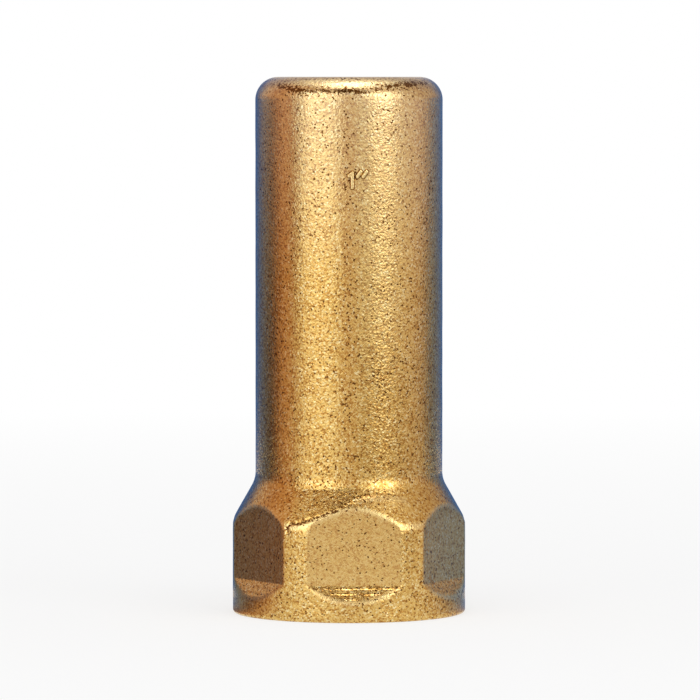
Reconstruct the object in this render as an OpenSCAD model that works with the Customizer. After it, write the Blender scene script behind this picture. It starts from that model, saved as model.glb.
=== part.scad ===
// Water hammer arrestor: a forged brass air chamber that screws onto a pipe by
// the female thread in its hexagonal foot. A sealed piston slides in its bore and
// squeezes the trapped air when the flow stops suddenly.
// Millimetres, +Z up the axis, origin at the centre of the foot's bottom face.

/* [Air chamber] */
// Height from the foot's bottom face to the crown
body_h = 103; // [85:0.5:140]
// Diameter of the honed bore that the piston runs in
bore_d = 29; // [25:0.1:30]
// Wall of the barrel around the bore
barrel_wall = 3.5; // [2.5:0.1:3.8]
// Thickness of the closed crown
crown_wall = 4; // [3:0.1:10]
// Outside radius where the crown meets the barrel
crown_r = 4.4; // [1:0.1:6]
// Inside radius at the blind end of the bore
bore_end_r = 2.5; // [1:0.1:4]

/* [Hexagonal foot] */
// Diameter of the round foot, and of the corners between the flats
foot_d = 44.8; // [43.5:0.1:52]
// Width across the spanner flats
across_flats = 41; // [40.2:0.1:43]
// Height of the foot, up to where the shoulder's cone starts
foot_h = 18; // [14:0.1:24]
// Height of the lower edge of the flats
flat_start_h = 7; // [5:0.1:10]
// Slope of the shoulder and of the flats' run-out, from the vertical
slope = 29.5; // [25:0.5:40]
// Fillet where the barrel grows into the shoulder
shoulder_root_r = 5.5; // [1:0.1:10]
// Rounding where the shoulder meets the foot
shoulder_edge_r = 2.7; // [0.5:0.1:6]
// Rounding of the foot's bottom edge
foot_edge_r = 0.6; // [0.2:0.1:1.5]

/* [Inlet thread] */
// Major diameter of the female pipe thread
thread_major_d = 33.25; // [33:0.05:35]
// Pitch of the thread
thread_pitch = 2.309; // [1.2:0.001:2.309]
// Depth of the threaded wall from the mouth
thread_depth = 17; // [13:0.5:20]
// How far the mouth's chamfer opens past the thread, on the radius
mouth_relief = 0.35; // [0.1:0.05:0.8]
// Width of the run-out groove above the thread
runout_w = 2.4; // [1.5:0.1:4]
// Chamfer that leads the seals into the bore
lead_in = 0.8; // [0.3:0.1:1.2]
// Plain land between the run-out groove and the ring groove
ring_land = 1.6; // [1:0.1:3]

/* [Retaining ring] */
// Thickness of the retaining ring
ring_t = 1.2; // [0.8:0.1:2]
// Depth of the ring's groove in the bore wall
ring_groove_depth = 0.7; // [0.4:0.05:1]
// Width of the ring opposite its gap
ring_w = 2.9; // [2:0.1:4]
// Width of the ring beside its lugs
ring_w_at_lugs = 1.7; // [1.2:0.1:2]
// Diameter of the two plier lugs
lug_d = 4.6; // [3.5:0.1:5.5]
// Diameter of the holes in the lugs
lug_hole_d = 2; // [1.2:0.1:2.5]
// Gap between the lugs, as fitted
lug_gap = 3.6; // [2:0.1:6]

/* [Stop washer] */
// Thickness of the washer that the piston lands on
washer_t = 1.5; // [1:0.1:3]
// Hole in the washer that lets the water through
washer_hole_d = 17; // [10:0.5:20]

/* [Piston] */
// Length of the piston
piston_l = 24; // [22:0.5:34]
// Clearance between the piston and the bore, on the radius
piston_clearance = 0.1; // [0.05:0.01:0.2]
// Chamfer on both ends of the piston
piston_chamfer = 1.2; // [0.5:0.1:2]
// Diameter of the hollow in the piston's air side
cup_d = 18; // [12:0.5:19]
// Thickness of the piston's water face
face_t = 7; // [4:0.5:10]
// Fillet at the bottom of the hollow
cup_r = 2; // [0.5:0.1:4]
// Diameter of the shallow dish in the water face
dish_d = 14; // [8:0.5:20]
// Depth of the dish
dish_depth = 1; // [0.4:0.1:2]
// Depth of the grease recess between the seals
grease_depth = 0.4; // [0.2:0.1:1]

/* [Seals] */
// Cord thickness of the O-rings
seal_cord = 2.5; // [2:0.1:3]
// Share of the cord thickness that the bore squeezes
seal_squeeze = 0.18; // [0.1:0.01:0.25]
// Width of each seal groove
seal_groove_w = 3.3; // [3.2:0.1:4]
// Distance from each end of the piston to the middle of its seal groove
seal_inset = 6; // [4.5:0.1:7]

/* [Hidden] */
$fn = 96;

// Seated pieces that slide on each other keep this much room, on the radius
running_gap = 0.02;
// Pieces that are dropped or sprung into place keep this much room, on the radius
seat_gap = 0.05;
// Cutting shapes reach this far past the faces that they cut
overcut = 1;
// Angle between neighbouring points on a rounded outline
arc_step = 5;
// A squeezed O-ring swells along the axis by this factor
seal_swell = 1.09;
// Distance that a lug stays inside the ring's outer edge
lug_inset = 0.1;
flats = 6;

bore_r = bore_d / 2;
barrel_r = bore_r + barrel_wall;
foot_r = foot_d / 2;
flat_r = across_flats / 2;
shoulder_top = foot_h + (foot_r - barrel_r) / tan(slope);
bore_top = body_h - crown_wall;

// Depth of a parallel pipe thread, as a share of its pitch
thread_depth_share = 0.6403;
thread_minor_r = thread_major_d / 2 - thread_depth_share * thread_pitch;
mouth_r = thread_major_d / 2 + mouth_relief;
runout_top = thread_depth + runout_w;
groove_z = runout_top + lead_in + ring_land;
groove_r = bore_r + ring_groove_depth;
groove_w = ring_t + 2 * seat_gap;

ring_r = groove_r - seat_gap;
ring_hole_r = ring_r - (ring_w + ring_w_at_lugs) / 2;
ring_hole_shift = (ring_w - ring_w_at_lugs) / 2;
lug_orbit = ring_r - lug_inset - lug_d / 2;
gap_half_angle = asin((lug_d + lug_gap) / 2 / lug_orbit);

washer_z = groove_z + ring_t;
piston_z = washer_z + washer_t;
piston_r = bore_r - piston_clearance;
seal_gland = seal_cord * (1 - seal_squeeze);
seal_groove_r = bore_r - seal_gland;
lower_seal_z = seal_inset;
upper_seal_z = piston_l - seal_inset;

// Points on an arc of radius r about centre, from one angle to another.
function arc(centre, r, from, to) =
    let (steps = ceil(abs(to - from) / arc_step))
    [for (i = [0 : steps])
        let (angle = from + (to - from) * i / steps)
        centre + r * [cos(angle), sin(angle)]];

// Half section of the forging's outside, without the flats.
function outside() = concat(
    [[0, 0]],
    arc([foot_r - foot_edge_r, foot_edge_r], foot_edge_r, -90, 0),
    arc([foot_r - shoulder_edge_r, foot_h - shoulder_edge_r * tan(slope / 2)],
        shoulder_edge_r, 0, slope),
    arc([barrel_r + shoulder_root_r, shoulder_top + shoulder_root_r * tan(slope / 2)],
        shoulder_root_r, 180 + slope, 180),
    arc([barrel_r - crown_r, body_h - crown_r], crown_r, 0, 90),
    [[0, body_h]]);

// Half section of everything that is machined out through the mouth.
function inside() = concat(
    [[0, -overcut],
     [mouth_r + overcut, -overcut],
     [thread_minor_r, mouth_r - thread_minor_r],
     [thread_minor_r, thread_depth],
     [mouth_r, thread_depth],
     [mouth_r, runout_top],
     [bore_r + lead_in, runout_top],
     [bore_r, runout_top + lead_in],
     [bore_r, groove_z],
     [groove_r, groove_z],
     [groove_r, groove_z + groove_w],
     [bore_r, groove_z + groove_w]],
    arc([bore_r - bore_end_r, bore_top - bore_end_r], bore_end_r, 0, 90),
    [[0, bore_top]]);

// Removes one spanner flat, with the slope at its foot, on the -Y side.
module flat_cutter() {
    reach = foot_r + overcut;
    rotate([90, 0, -90])
        linear_extrude(2 * foot_r, center = true)
            polygon([[flat_r, flat_start_h],
                     [reach, flat_start_h - (reach - flat_r) / tan(slope)],
                     [reach, shoulder_top],
                     [flat_r, shoulder_top]]);
}

module body() {
    color("goldenrod")
        difference() {
            rotate_extrude() polygon(outside());
            rotate_extrude() polygon(inside());
            for (i = [0 : flats - 1])
                rotate(i * 360 / flats) flat_cutter();
        }
}

// Sprung ring with two plier lugs, its gap on the -Y side.
module retaining_ring() {
    lug_places = [for (side = [-1, 1])
        lug_orbit * [side * sin(gap_half_angle), -cos(gap_half_angle)]];
    color("lightsteelblue")
        translate([0, 0, groove_z])
            linear_extrude(ring_t)
                difference() {
                    union() {
                        difference() {
                            circle(ring_r);
                            translate([0, -ring_hole_shift]) circle(ring_hole_r);
                            polygon(concat([[0, 0]], 2 * lug_places));
                        }
                        for (place = lug_places) translate(place) circle(d = lug_d);
                    }
                    for (place = lug_places) translate(place) circle(d = lug_hole_d);
                }
}

module stop_washer() {
    color("silver")
        translate([0, 0, washer_z])
            linear_extrude(washer_t)
                difference() {
                    circle(bore_r - seat_gap);
                    circle(d = washer_hole_d);
                }
}

// Half section of the piston, its water face at the bottom.
function piston_section() = concat(
    [[0, dish_depth],
     [dish_d / 2 - dish_depth, dish_depth],
     [dish_d / 2, 0],
     [piston_r - piston_chamfer, 0],
     [piston_r, piston_chamfer],
     [piston_r, piston_l - piston_chamfer],
     [piston_r - piston_chamfer, piston_l],
     [cup_d / 2, piston_l]],
    arc([cup_d / 2 - cup_r, face_t + cup_r], cup_r, 0, -90),
    [[0, face_t]]);

// A square groove round the piston, down to radius r.
module piston_groove(r, z, w) {
    translate([0, 0, z - w / 2])
        rotate_extrude()
            translate([r, 0]) square([piston_r - r + overcut, w]);
}

module piston() {
    grease_w = (upper_seal_z - lower_seal_z - seal_groove_w) / 2;
    color("ivory")
        translate([0, 0, piston_z])
            difference() {
                rotate_extrude() polygon(piston_section());
                for (z = [lower_seal_z, upper_seal_z])
                    piston_groove(seal_groove_r, z, seal_groove_w);
                piston_groove(piston_r - grease_depth, piston_l / 2, grease_w);
            }
}

// O-ring in its groove, squeezed flat against the bore and the groove's floor.
module o_ring(z) {
    squeezed_w = seal_gland - 2 * running_gap;
    color("dimgray")
        translate([0, 0, piston_z + z])
            rotate_extrude()
                translate([seal_groove_r + seal_gland / 2, 0])
                    intersection() {
                        circle(d = seal_cord * seal_swell);
                        square([squeezed_w, seal_groove_w], center = true);
                    }
}

module lower_o_ring() { o_ring(lower_seal_z); }
module upper_o_ring() { o_ring(upper_seal_z); }

body();
retaining_ring();
stop_washer();
piston();
lower_o_ring();
upper_o_ring();
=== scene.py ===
"""Looks of a water hammer arrestor: a forged brass shell over a threaded mouth and a sealed piston.

Every length below is in millimetres unless its name says otherwise. The object stands on its foot, with
+Z up its axis, and the spanner flat in the middle of the photograph faces -Y.
"""

import logging
from dataclasses import dataclass
from enum import Enum
from functools import partial
from typing import Any, Callable, Mapping, Sequence

import bpy
import numpy as np
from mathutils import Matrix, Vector
from numpy.typing import NDArray


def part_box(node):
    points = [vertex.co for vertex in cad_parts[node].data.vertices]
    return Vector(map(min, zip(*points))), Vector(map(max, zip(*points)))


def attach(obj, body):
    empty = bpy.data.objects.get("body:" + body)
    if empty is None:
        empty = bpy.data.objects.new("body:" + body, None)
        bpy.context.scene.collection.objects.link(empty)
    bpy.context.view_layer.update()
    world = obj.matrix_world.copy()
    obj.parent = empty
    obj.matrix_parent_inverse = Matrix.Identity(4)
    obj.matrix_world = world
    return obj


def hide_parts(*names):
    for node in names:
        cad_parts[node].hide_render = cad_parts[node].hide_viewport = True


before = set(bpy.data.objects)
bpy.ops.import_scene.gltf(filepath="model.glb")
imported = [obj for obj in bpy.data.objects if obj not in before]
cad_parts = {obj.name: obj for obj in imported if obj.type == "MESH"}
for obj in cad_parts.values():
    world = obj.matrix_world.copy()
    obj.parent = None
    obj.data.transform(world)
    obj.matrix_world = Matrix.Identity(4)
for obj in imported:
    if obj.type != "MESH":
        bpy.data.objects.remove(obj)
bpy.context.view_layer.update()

Array = NDArray[np.float64]
NodeAdder = Callable[..., bpy.types.Node]
MM = 0.001
log = logging.getLogger("arrestor")

# The vertex attributes of the forged skin that its material reads: painted highlight, painted shade and calm.
SKIN_SHARES = ("painted_highlight", "painted_shade", "calm")
# The paper of the studio cards, where they carry no tint.
PLAIN_PAPER = "#E8E4E4"
# Length of one ring of Blender's wave texture at a scale of 1.
WAVE_LENGTH = 2 * np.pi / 20


class Skin(Enum):
    """How a stretch of the shell's wall was made; the value is its material slot."""

    FORGED = 0
    TURNED = 1


def linear(code: str) -> tuple[float, float, float, float]:
    """Turn an sRGB hex colour into linear RGBA.

    Args:
        code: Six hex digits after a hash sign.

    Returns:
        Red, green, blue and an alpha of 1.
    """
    srgb = np.array([int(code[i : i + 2], 16) for i in (1, 3, 5)]) / 255
    rgb = np.where(srgb <= 0.04045, srgb / 12.92, ((srgb + 0.055) / 1.055) ** 2.4)
    return (*map(float, rgb), 1.0)


def add_node(
    tree: bpy.types.NodeTree,
    kind: str,
    values: Mapping[str | int, Any] | None = None,
    links: Mapping[str | int, bpy.types.NodeSocket] | None = None,
    stops: Sequence[tuple[float, str]] = (),
    **settings: Any,
) -> bpy.types.Node:
    """Add one shader node with its settings and links.

    Args:
        tree: The node tree that the node goes into.
        kind: The node's type, without the leading "ShaderNode".
        values: Constants for input sockets, by name or number.
        links: Output sockets that feed input sockets, by name or number.
        stops: Positions and hex colours of a colour ramp.
        **settings: The node's own properties.

    Returns:
        The new node.
    """
    node = tree.nodes.new(f"ShaderNode{kind}")
    for name, value in settings.items():
        setattr(node, name, value)
    for key, value in (values or {}).items():
        node.inputs[key].default_value = value
    for key, socket in (links or {}).items():
        tree.links.new(socket, node.inputs[key])
    for number, (place, code) in enumerate(stops):
        ramp = node.color_ramp.elements
        stop = ramp[number] if number < 2 else ramp.new(place)
        stop.position = place
        stop.color = linear(code)
    return node


def per_metre(size_mm: float) -> float:
    """Scale of a pattern on Object coordinates whose features are size_mm wide."""
    return 1 / (size_mm * MM)


def arc(centre: tuple[float, float], r: float, start: float, end: float, count: int) -> Array:
    """Points on a circular arc of a half section.

    Args:
        centre: Radius and height of the arc's centre.
        r: The arc's own radius.
        start: First angle in degrees, from the outward radius towards +Z.
        end: Last angle in degrees.
        count: Number of points, both ends included.

    Returns:
        An array of radius and height, one row per point.
    """
    angle = np.radians(np.linspace(start, end, count))
    return np.array(centre) + r * np.column_stack([np.cos(angle), np.sin(angle)])


def line(start: tuple[float, float], end: tuple[float, float], count: int) -> Array:
    """Evenly spaced points on a straight stretch of a half section, without its two ends."""
    share = np.linspace(0, 1, count + 2)[1:-1, None]
    return np.array(start) * (1 - share) + np.array(end) * share


def smooth_min(a: Array, b: Array, width: Array | float) -> Array:
    """The lesser of two surfaces, rounded where they come within width of each other."""
    # The result dips under both by a quarter of the width times the square of their closeness.
    closeness = np.clip(1 - np.abs(a - b) / width, 0, 1)
    return np.minimum(a, b) - 0.25 * width * closeness**2


def bell(distance: Array, width: float) -> Array:
    """A bell curve of height 1: e to the minus square of distance over width."""
    return np.exp(-((distance / width) ** 2))


def hold_corners(corners: Array, inset: float) -> Array:
    """Add a point just before and just after each corner of a half section, so smooth shading stays crisp.

    Args:
        corners: Radius and height of each corner.
        inset: How far from its corner each added point lies.

    Returns:
        The corners with their added points.
    """
    step = np.diff(corners, axis=0)
    step *= inset / np.linalg.norm(step, axis=1, keepdims=True)
    held = np.stack([corners[:-1], corners[:-1] + step, corners[1:] - step], axis=1)
    return np.vstack([held.reshape(-1, 2), corners[-1:]])


def stroke_distance(u: Array, v: Array, strokes: Array) -> Array:
    """Distance from each point of a plane to the nearest of some straight strokes.

    Args:
        u: Places across.
        v: Places up.
        strokes: The two ends of each stroke, as strokes by 2 by 2.

    Returns:
        The distances, over the broadcast shape of u and v.
    """
    start, way = strokes[:, 0], strokes[:, 1] - strokes[:, 0]
    spot = np.stack(np.broadcast_arrays(u, v), axis=-1)[..., None, :] - start
    share = np.clip((spot * way).sum(-1) / (way * way).sum(-1), 0, 1)
    return np.linalg.norm(spot - share[..., None] * way, axis=-1).min(axis=-1)


def chain(points: Sequence[tuple[float, float]] | Array) -> Array:
    """The straight strokes that join a row of points."""
    return np.stack([np.array(points[:-1]), np.array(points[1:])], axis=1)


def grid_quads(number: NDArray[np.int64]) -> NDArray[np.int64]:
    """The faces of a grid of vertex numbers, seen from the side where rows go up and columns go right."""
    corners = [number[:-1, :-1], number[:-1, 1:], number[1:, 1:], number[1:, :-1]]
    return np.stack(corners, axis=-1).reshape(-1, 4)


@dataclass(frozen=True)
class Waves:
    """Gentle seeded unevenness: a mean plus slanting cosine waves, whole round the axis, from 0 to most.

    The seed draws the waves' slants and phases, length is the shortest wave along the axis, and turns is
    the largest number of waves round it.
    """

    mean: float
    swing: float
    most: float
    seed: int
    count: int
    length: float
    turns: int

    def at(self, theta: Array, z: Array) -> Array:
        """Add the waves up.

        Args:
            theta: Angles round the axis, in radians.
            z: Heights.

        Returns:
            The values, over the broadcast shape of theta and z.
        """
        rng = np.random.default_rng(self.seed)
        total = np.zeros(np.broadcast(theta, z).shape)
        for _ in range(self.count):
            around = rng.integers(-self.turns, self.turns + 1)
            along = 2 * np.pi / (self.length * rng.uniform(1, 4))
            total += np.cos(around * theta + along * z + rng.uniform(0, 2 * np.pi))
        return np.clip(self.mean + self.swing * (total / np.sqrt(2 * self.count)), 0, self.most)


def make_object(
    name: str, points: Array, quads: NDArray[np.int64], triangles: NDArray[np.int64]
) -> bpy.types.Object:
    """Put points and faces into a new smooth mesh object at the origin.

    Args:
        name: The object's name.
        points: Vertex positions in millimetres, one row each.
        quads: Four vertex numbers per row.
        triangles: Three vertex numbers per row; they follow the quads.

    Returns:
        The linked object.
    """
    mesh = bpy.data.meshes.new(name)
    mesh.vertices.add(len(points))
    mesh.vertices.foreach_set("co", (points * MM).astype(np.float32).ravel())
    corners = np.concatenate([quads.ravel(), triangles.ravel()])
    starts = np.concatenate(
        [np.arange(len(quads)) * 4, quads.size + np.arange(len(triangles)) * 3]
    )
    mesh.loops.add(len(corners))
    mesh.loops.foreach_set("vertex_index", corners.astype(np.int32))
    mesh.polygons.add(len(starts))
    mesh.polygons.foreach_set("loop_start", starts.astype(np.int32))
    mesh.update(calc_edges=True)
    mesh.shade_smooth()
    made = bpy.data.objects.new(name, mesh)
    bpy.context.scene.collection.objects.link(made)
    return made


def skin_rings(name: str, rings: Array) -> bpy.types.Object:
    """Close a stack of rings into one watertight mesh, with a fan over the first and the last ring.

    Args:
        name: The object's name.
        rings: Points in millimetres, as rings by points round the axis by 3, outside down and inside up.

    Returns:
        The linked object. Its faces run ring by ring, and then the two fans.
    """
    count, around, _ = rings.shape
    number = np.arange(count * around).reshape(count, around)
    beside = np.roll(number, -1, axis=1)
    quads = np.stack([number[:-1], number[1:], beside[1:], beside[:-1]], axis=-1).reshape(-1, 4)
    hub = np.full(around, count * around)
    fans = np.concatenate(
        [
            np.column_stack([hub, number[0], beside[0]]),
            np.column_stack([hub + 1, beside[-1], number[-1]]),
        ]
    )
    poles = np.stack([rings[0].mean(axis=0), rings[-1].mean(axis=0)])
    points = np.concatenate([rings.reshape(-1, 3), poles])
    return make_object(name, points, quads, fans)


def set_attribute(piece: bpy.types.Object, name: str, values: Array) -> None:
    """Store one number per vertex on a piece's mesh, for its material to read."""
    attribute = piece.data.attributes.new(name, "FLOAT", "POINT")
    attribute.data.foreach_set("value", values.astype(np.float32).ravel())


def new_material(name: str) -> tuple[bpy.types.Material, NodeAdder]:
    """Start an empty node material.

    Args:
        name: The material's name.

    Returns:
        The material, and add_node for its own node tree.
    """
    material = bpy.data.materials.new(name)
    material.use_nodes = True
    material.node_tree.nodes.clear()
    return material, partial(add_node, material.node_tree)


@dataclass(frozen=True)
class ForgedBrass:
    """Hot-forged brass, shot-blasted and left bare.

    The eye gets a warm gold of small glittering grains, each with its own tone, the brightest painted as
    glints, and dark brown scale left in some of them. The same dark brown is painted shade in troughs,
    grooves and at the foot of raised strokes, and painted dark reflection on the crown and down the front.
    Painted highlights make the top paler and edges, lips and some patches brighter. The real grain is finer
    than a pixel of the photograph's view, so it is drawn about twice as coarse.
    """

    glint: str = "#F1DCA4"
    bright: str = "#E3C079"
    gold: str = "#DAB162"
    honey: str = "#C5944B"
    brown: str = "#A06E32"
    scale_and_shade: str = "#6E4820"
    highlight_tone: str = "#F3DA9C"
    pale: str = "#F4EBD2"
    grain: float = 0.30
    pit: float = 0.40
    dimple: float = 1.6
    blotch: float = 14.0
    pit_depth: float = 0.10
    pit_strength: float = 0.6
    dimple_depth: float = 0.10
    dimple_strength: float = 0.5
    pressed_tone: float = 0.5
    pressed_pale: float = 0.2
    top_highlight_from_z: float = 65.0
    top_highlight_to_z: float = 102.0
    top_highlight_share: float = 0.24
    least_scale: float = 0.015
    most_scale: float = 0.065
    roughness: float = 0.15
    dull_roughness: float = 0.23

    def material(self) -> bpy.types.Material:
        """Build the material from random grains, noise of three sizes, and attributes of painted highlight,
        painted shade and calm.

        A grain takes the dark tone where its own random number is less than the share around it: the random
        share of scale plus the painted shade. Calm faces, which the die pressed hardest, have grains of a
        more even tone.

        Returns:
            The material.
        """
        material, add = new_material("hot_forged_blasted_brass")
        place = add("TexCoord").outputs["Object"]
        noise = {
            size: add(
                "TexNoise", {"Scale": per_metre(size), "Detail": 2.0, "Roughness": 0.6}, {"Vector": place}
            ).outputs["Fac"]
            for size in (self.pit, self.dimple, self.blotch)
        }
        painted_highlight, painted_shade, calm = (add("Attribute", attribute_name=name).outputs["Fac"] for name in SKIN_SHARES)
        grains = add("TexVoronoi", {"Scale": per_metre(self.grain)}, {"Vector": place})
        chance = add("SeparateColor", links={"Color": grains.outputs["Color"]}).outputs
        tone = add(
            "Mix", {"B": self.pressed_tone}, {"Factor": calm, "A": chance["Red"]}, data_type="FLOAT"
        ).outputs["Result"]
        tones = (
            (0.0, self.brown),
            (0.2, self.honey),
            (0.45, self.gold),
            (0.85, self.bright),
            (1.0, self.glint),
        )
        colour = add("ValToRGB", links={"Fac": tone}, stops=tones).outputs["Color"]
        # Painted highlight: the pale tone is mixed in more towards the top, as the light falls there.
        height = add("SeparateXYZ", links={"Vector": place}).outputs["Z"]
        top_highlight = add(
            "MapRange",
            {"From Min": self.top_highlight_from_z * MM, "From Max": self.top_highlight_to_z * MM, "To Max": self.top_highlight_share},
            {"Value": height},
        ).outputs["Result"]
        pressed_and_top_highlight = add(
            "Math", {1: self.pressed_pale}, {0: calm, 2: top_highlight}, operation="MULTIPLY_ADD"
        ).outputs[0]
        # Few noise values lie outside 0.3 to 0.7, so the ranges below are narrower than 0 to 1.
        crowding = add(
            "MapRange",
            {"From Min": 0.38, "From Max": 0.68, "To Min": self.least_scale, "To Max": self.most_scale},
            {"Value": noise[self.blotch]},
        ).outputs["Result"]
        # The dark share is the random crowding of scale plus the painted shade.
        share = add("Math", links={0: crowding, 1: painted_shade}, operation="ADD").outputs[0]
        scale_and_shade_grains = add("Math", links={0: chance["Green"], 1: share}, operation="LESS_THAN").outputs[0]
        # Mix in the pale tone of pressed faces and the painted top highlight, the painted highlight tone, and
        # the dark tone of scale and painted shade.
        for code, covered in ((self.pale, pressed_and_top_highlight), (self.highlight_tone, painted_highlight), (self.scale_and_shade, scale_and_shade_grains)):
            colour = add(
                "Mix", {"B": linear(code)}, {"Factor": covered, "A": colour}, data_type="RGBA"
            ).outputs["Result"]
        gloss = add(
            "MapRange",
            {"From Min": 0.3, "From Max": 0.7, "To Min": self.roughness, "To Max": self.dull_roughness},
            {"Value": noise[self.dimple]},
        ).outputs["Result"]
        dimpled = add(
            "Bump",
            {"Strength": self.dimple_strength, "Distance": self.dimple_depth * MM},
            {"Height": noise[self.dimple]},
        ).outputs["Normal"]
        grainy = add(
            "Bump",
            {"Strength": self.pit_strength, "Distance": self.pit_depth * MM},
            {"Height": noise[self.pit], "Normal": dimpled},
        ).outputs["Normal"]
        metal = add(
            "BsdfPrincipled",
            {"Metallic": 1.0},
            {"Base Color": colour, "Roughness": gloss, "Normal": grainy},
        )
        add("OutputMaterial", links={"Surface": metal.outputs["BSDF"]})
        return material


@dataclass(frozen=True)
class TurnedBrass:
    """Brass cut on a lathe: brighter and yellower than the forged skin, with fine rings of tool marks.

    The real rings are about half as far apart, which is too fine to show.
    """

    bright: str = "#E6C983"
    groove: str = "#C39A50"
    feed: float = 0.45
    mark_depth: float = 0.01
    mark_strength: float = 0.3
    roughness: float = 0.2

    def material(self) -> bpy.types.Material:
        """Build the material from ring-shaped tool marks, spaced by the tool's feed.

        Returns:
            The material.
        """
        material, add = new_material("turned_brass")
        place = add("TexCoord").outputs["Object"]
        marks = add(
            "TexWave",
            {"Scale": WAVE_LENGTH * per_metre(self.feed), "Distortion": 0.6, "Detail": 1.0},
            {"Vector": place},
            wave_type="RINGS",
            rings_direction="SPHERICAL",
        ).outputs["Fac"]
        tones = ((0.1, self.groove), (0.6, self.bright))
        colour = add("ValToRGB", links={"Fac": marks}, stops=tones).outputs["Color"]
        ridges = add(
            "Bump", {"Strength": self.mark_strength, "Distance": self.mark_depth * MM}, {"Height": marks}
        ).outputs["Normal"]
        metal = add(
            "BsdfPrincipled",
            {"Metallic": 1.0, "Roughness": self.roughness},
            {"Base Color": colour, "Normal": ridges},
        )
        add("OutputMaterial", links={"Surface": metal.outputs["BSDF"]})
        return material


@dataclass(frozen=True)
class TumbledSteel:
    """Stainless sheet, stamped and tumbled: grey, softly glossy, with a cloudy, finely scuffed face."""

    name: str
    light: str = "#C9C9C6"
    dark: str = "#8E8E8C"
    scuff: float = 0.6
    dent_depth: float = 0.02
    dent_strength: float = 0.3
    bright_roughness: float = 0.2
    dull_roughness: float = 0.45

    def material(self) -> bpy.types.Material:
        """Build the material from one noise that shifts tone, gloss and height.

        Returns:
            The material.
        """
        material, add = new_material(self.name)
        place = add("TexCoord").outputs["Object"]
        scuffs = add(
            "TexNoise", {"Scale": per_metre(self.scuff), "Detail": 5.0, "Roughness": 0.7}, {"Vector": place}
        ).outputs["Fac"]
        tones = ((0.3, self.dark), (0.65, self.light))
        colour = add("ValToRGB", links={"Fac": scuffs}, stops=tones).outputs["Color"]
        gloss = add(
            "MapRange", {"To Min": self.bright_roughness, "To Max": self.dull_roughness}, {"Value": scuffs}
        ).outputs["Result"]
        dents = add(
            "Bump", {"Strength": self.dent_strength, "Distance": self.dent_depth * MM}, {"Height": scuffs}
        ).outputs["Normal"]
        metal = add(
            "BsdfPrincipled",
            {"Metallic": 1.0},
            {"Base Color": colour, "Roughness": gloss, "Normal": dents},
        )
        add("OutputMaterial", links={"Surface": metal.outputs["BSDF"]})
        return material


@dataclass(frozen=True)
class TurnedAcetal:
    """Natural acetal, turned: milky off-white, satin, faintly translucent, with fine tool rings.

    The real rings are about half as far apart, which is too fine to show.
    """

    milk: str = "#EDEAE0"
    shade: str = "#DCD8CB"
    feed: float = 0.4
    mark_depth: float = 0.01
    mark_strength: float = 0.25
    drift: float = 6.0
    ior: float = 1.48
    roughness: float = 0.42
    glow_weight: float = 0.15
    glow_depth: float = 0.6

    def material(self) -> bpy.types.Material:
        """Build the material from fine tool rings and a slow drift of tone.

        Returns:
            The material.
        """
        material, add = new_material("turned_natural_acetal")
        place = add("TexCoord").outputs["Object"]
        marks = add(
            "TexWave",
            {"Scale": WAVE_LENGTH * per_metre(self.feed), "Distortion": 0.4},
            {"Vector": place},
            wave_type="RINGS",
            rings_direction="Z",
        ).outputs["Fac"]
        drift = add(
            "TexNoise", {"Scale": per_metre(self.drift), "Detail": 2.0}, {"Vector": place}
        ).outputs["Fac"]
        tones = ((0.3, self.shade), (0.7, self.milk))
        colour = add("ValToRGB", links={"Fac": drift}, stops=tones).outputs["Color"]
        rings = add(
            "Bump", {"Strength": self.mark_strength, "Distance": self.mark_depth * MM}, {"Height": marks}
        ).outputs["Normal"]
        plastic = add(
            "BsdfPrincipled",
            {
                "IOR": self.ior,
                "Roughness": self.roughness,
                "Subsurface Weight": self.glow_weight,
                "Subsurface Radius": (0.9, 0.8, 0.6),
                "Subsurface Scale": self.glow_depth * MM,
            },
            {"Base Color": colour, "Normal": rings},
        )
        add("OutputMaterial", links={"Surface": plastic.outputs["BSDF"]})
        return material


@dataclass(frozen=True)
class GreasedRubber:
    """Moulded EPDM rubber under a film of grease: near black, with soft cloudy gloss."""

    black: str = "#161616"
    bloom: str = "#2B2A28"
    cloud: float = 1.5
    ior: float = 1.5
    bright_roughness: float = 0.3
    dull_roughness: float = 0.55

    def material(self) -> bpy.types.Material:
        """Build the material from one cloudy noise that shifts tone and gloss.

        Returns:
            The material.
        """
        material, add = new_material("moulded_epdm_rubber")
        place = add("TexCoord").outputs["Object"]
        cloud = add(
            "TexNoise", {"Scale": per_metre(self.cloud), "Detail": 4.0}, {"Vector": place}
        ).outputs["Fac"]
        tones = ((0.35, self.black), (0.75, self.bloom))
        colour = add("ValToRGB", links={"Fac": cloud}, stops=tones).outputs["Color"]
        gloss = add(
            "MapRange", {"To Min": self.bright_roughness, "To Max": self.dull_roughness}, {"Value": cloud}
        ).outputs["Result"]
        rubber = add("BsdfPrincipled", {"IOR": self.ior}, {"Base Color": colour, "Roughness": gloss})
        add("OutputMaterial", links={"Surface": rubber.outputs["BSDF"]})
        return material


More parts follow.
